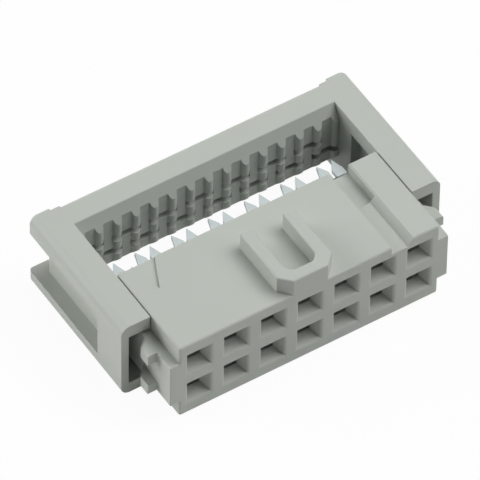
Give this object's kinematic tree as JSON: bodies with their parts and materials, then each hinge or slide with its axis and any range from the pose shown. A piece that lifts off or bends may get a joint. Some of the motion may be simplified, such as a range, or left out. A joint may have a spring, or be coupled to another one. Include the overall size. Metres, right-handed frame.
{
  "type": "ribbon cable socket",
  "caption": "Insulation-displacement ribbon cable socket, keyed, with square pin openings on a regular grid and a sliding cover parked in its open position.",
  "frame": {"origin": "centre of the housing's mating face, the face with the pin openings", "axes": "+X along the rows of openings, from the first way to the last; +Y from the mating face to the cable side; +Z the side with the polarising key, which is also up"},
  "size_m": [0.0222, 0.0134, 0.0073],
  "materials": {
    "moulding": "pale pebble grey, moulded satin",
    "contact": "tin-plated copper alloy, stamped"
  },
  "bodies": {
    "housing": {"housing": "moulding", "contact_a1": "contact", "contact_a2": "contact", "contact_a3": "contact", "contact_a4": "contact", "contact_a5": "contact", "contact_a6": "contact", "contact_a7": "contact", "contact_b1": "contact", "contact_b2": "contact", "contact_b3": "contact", "contact_b4": "contact", "contact_b5": "contact", "contact_b6": "contact", "contact_b7": "contact"},
    "cover": {"cover": "moulding"}
  },
  "joints": [
    {"name": "cover_slide", "type": "slide", "parent": "housing", "child": "cover", "axis": [0, -1, 0], "range_m": [0, 0.003]}
  ]
}
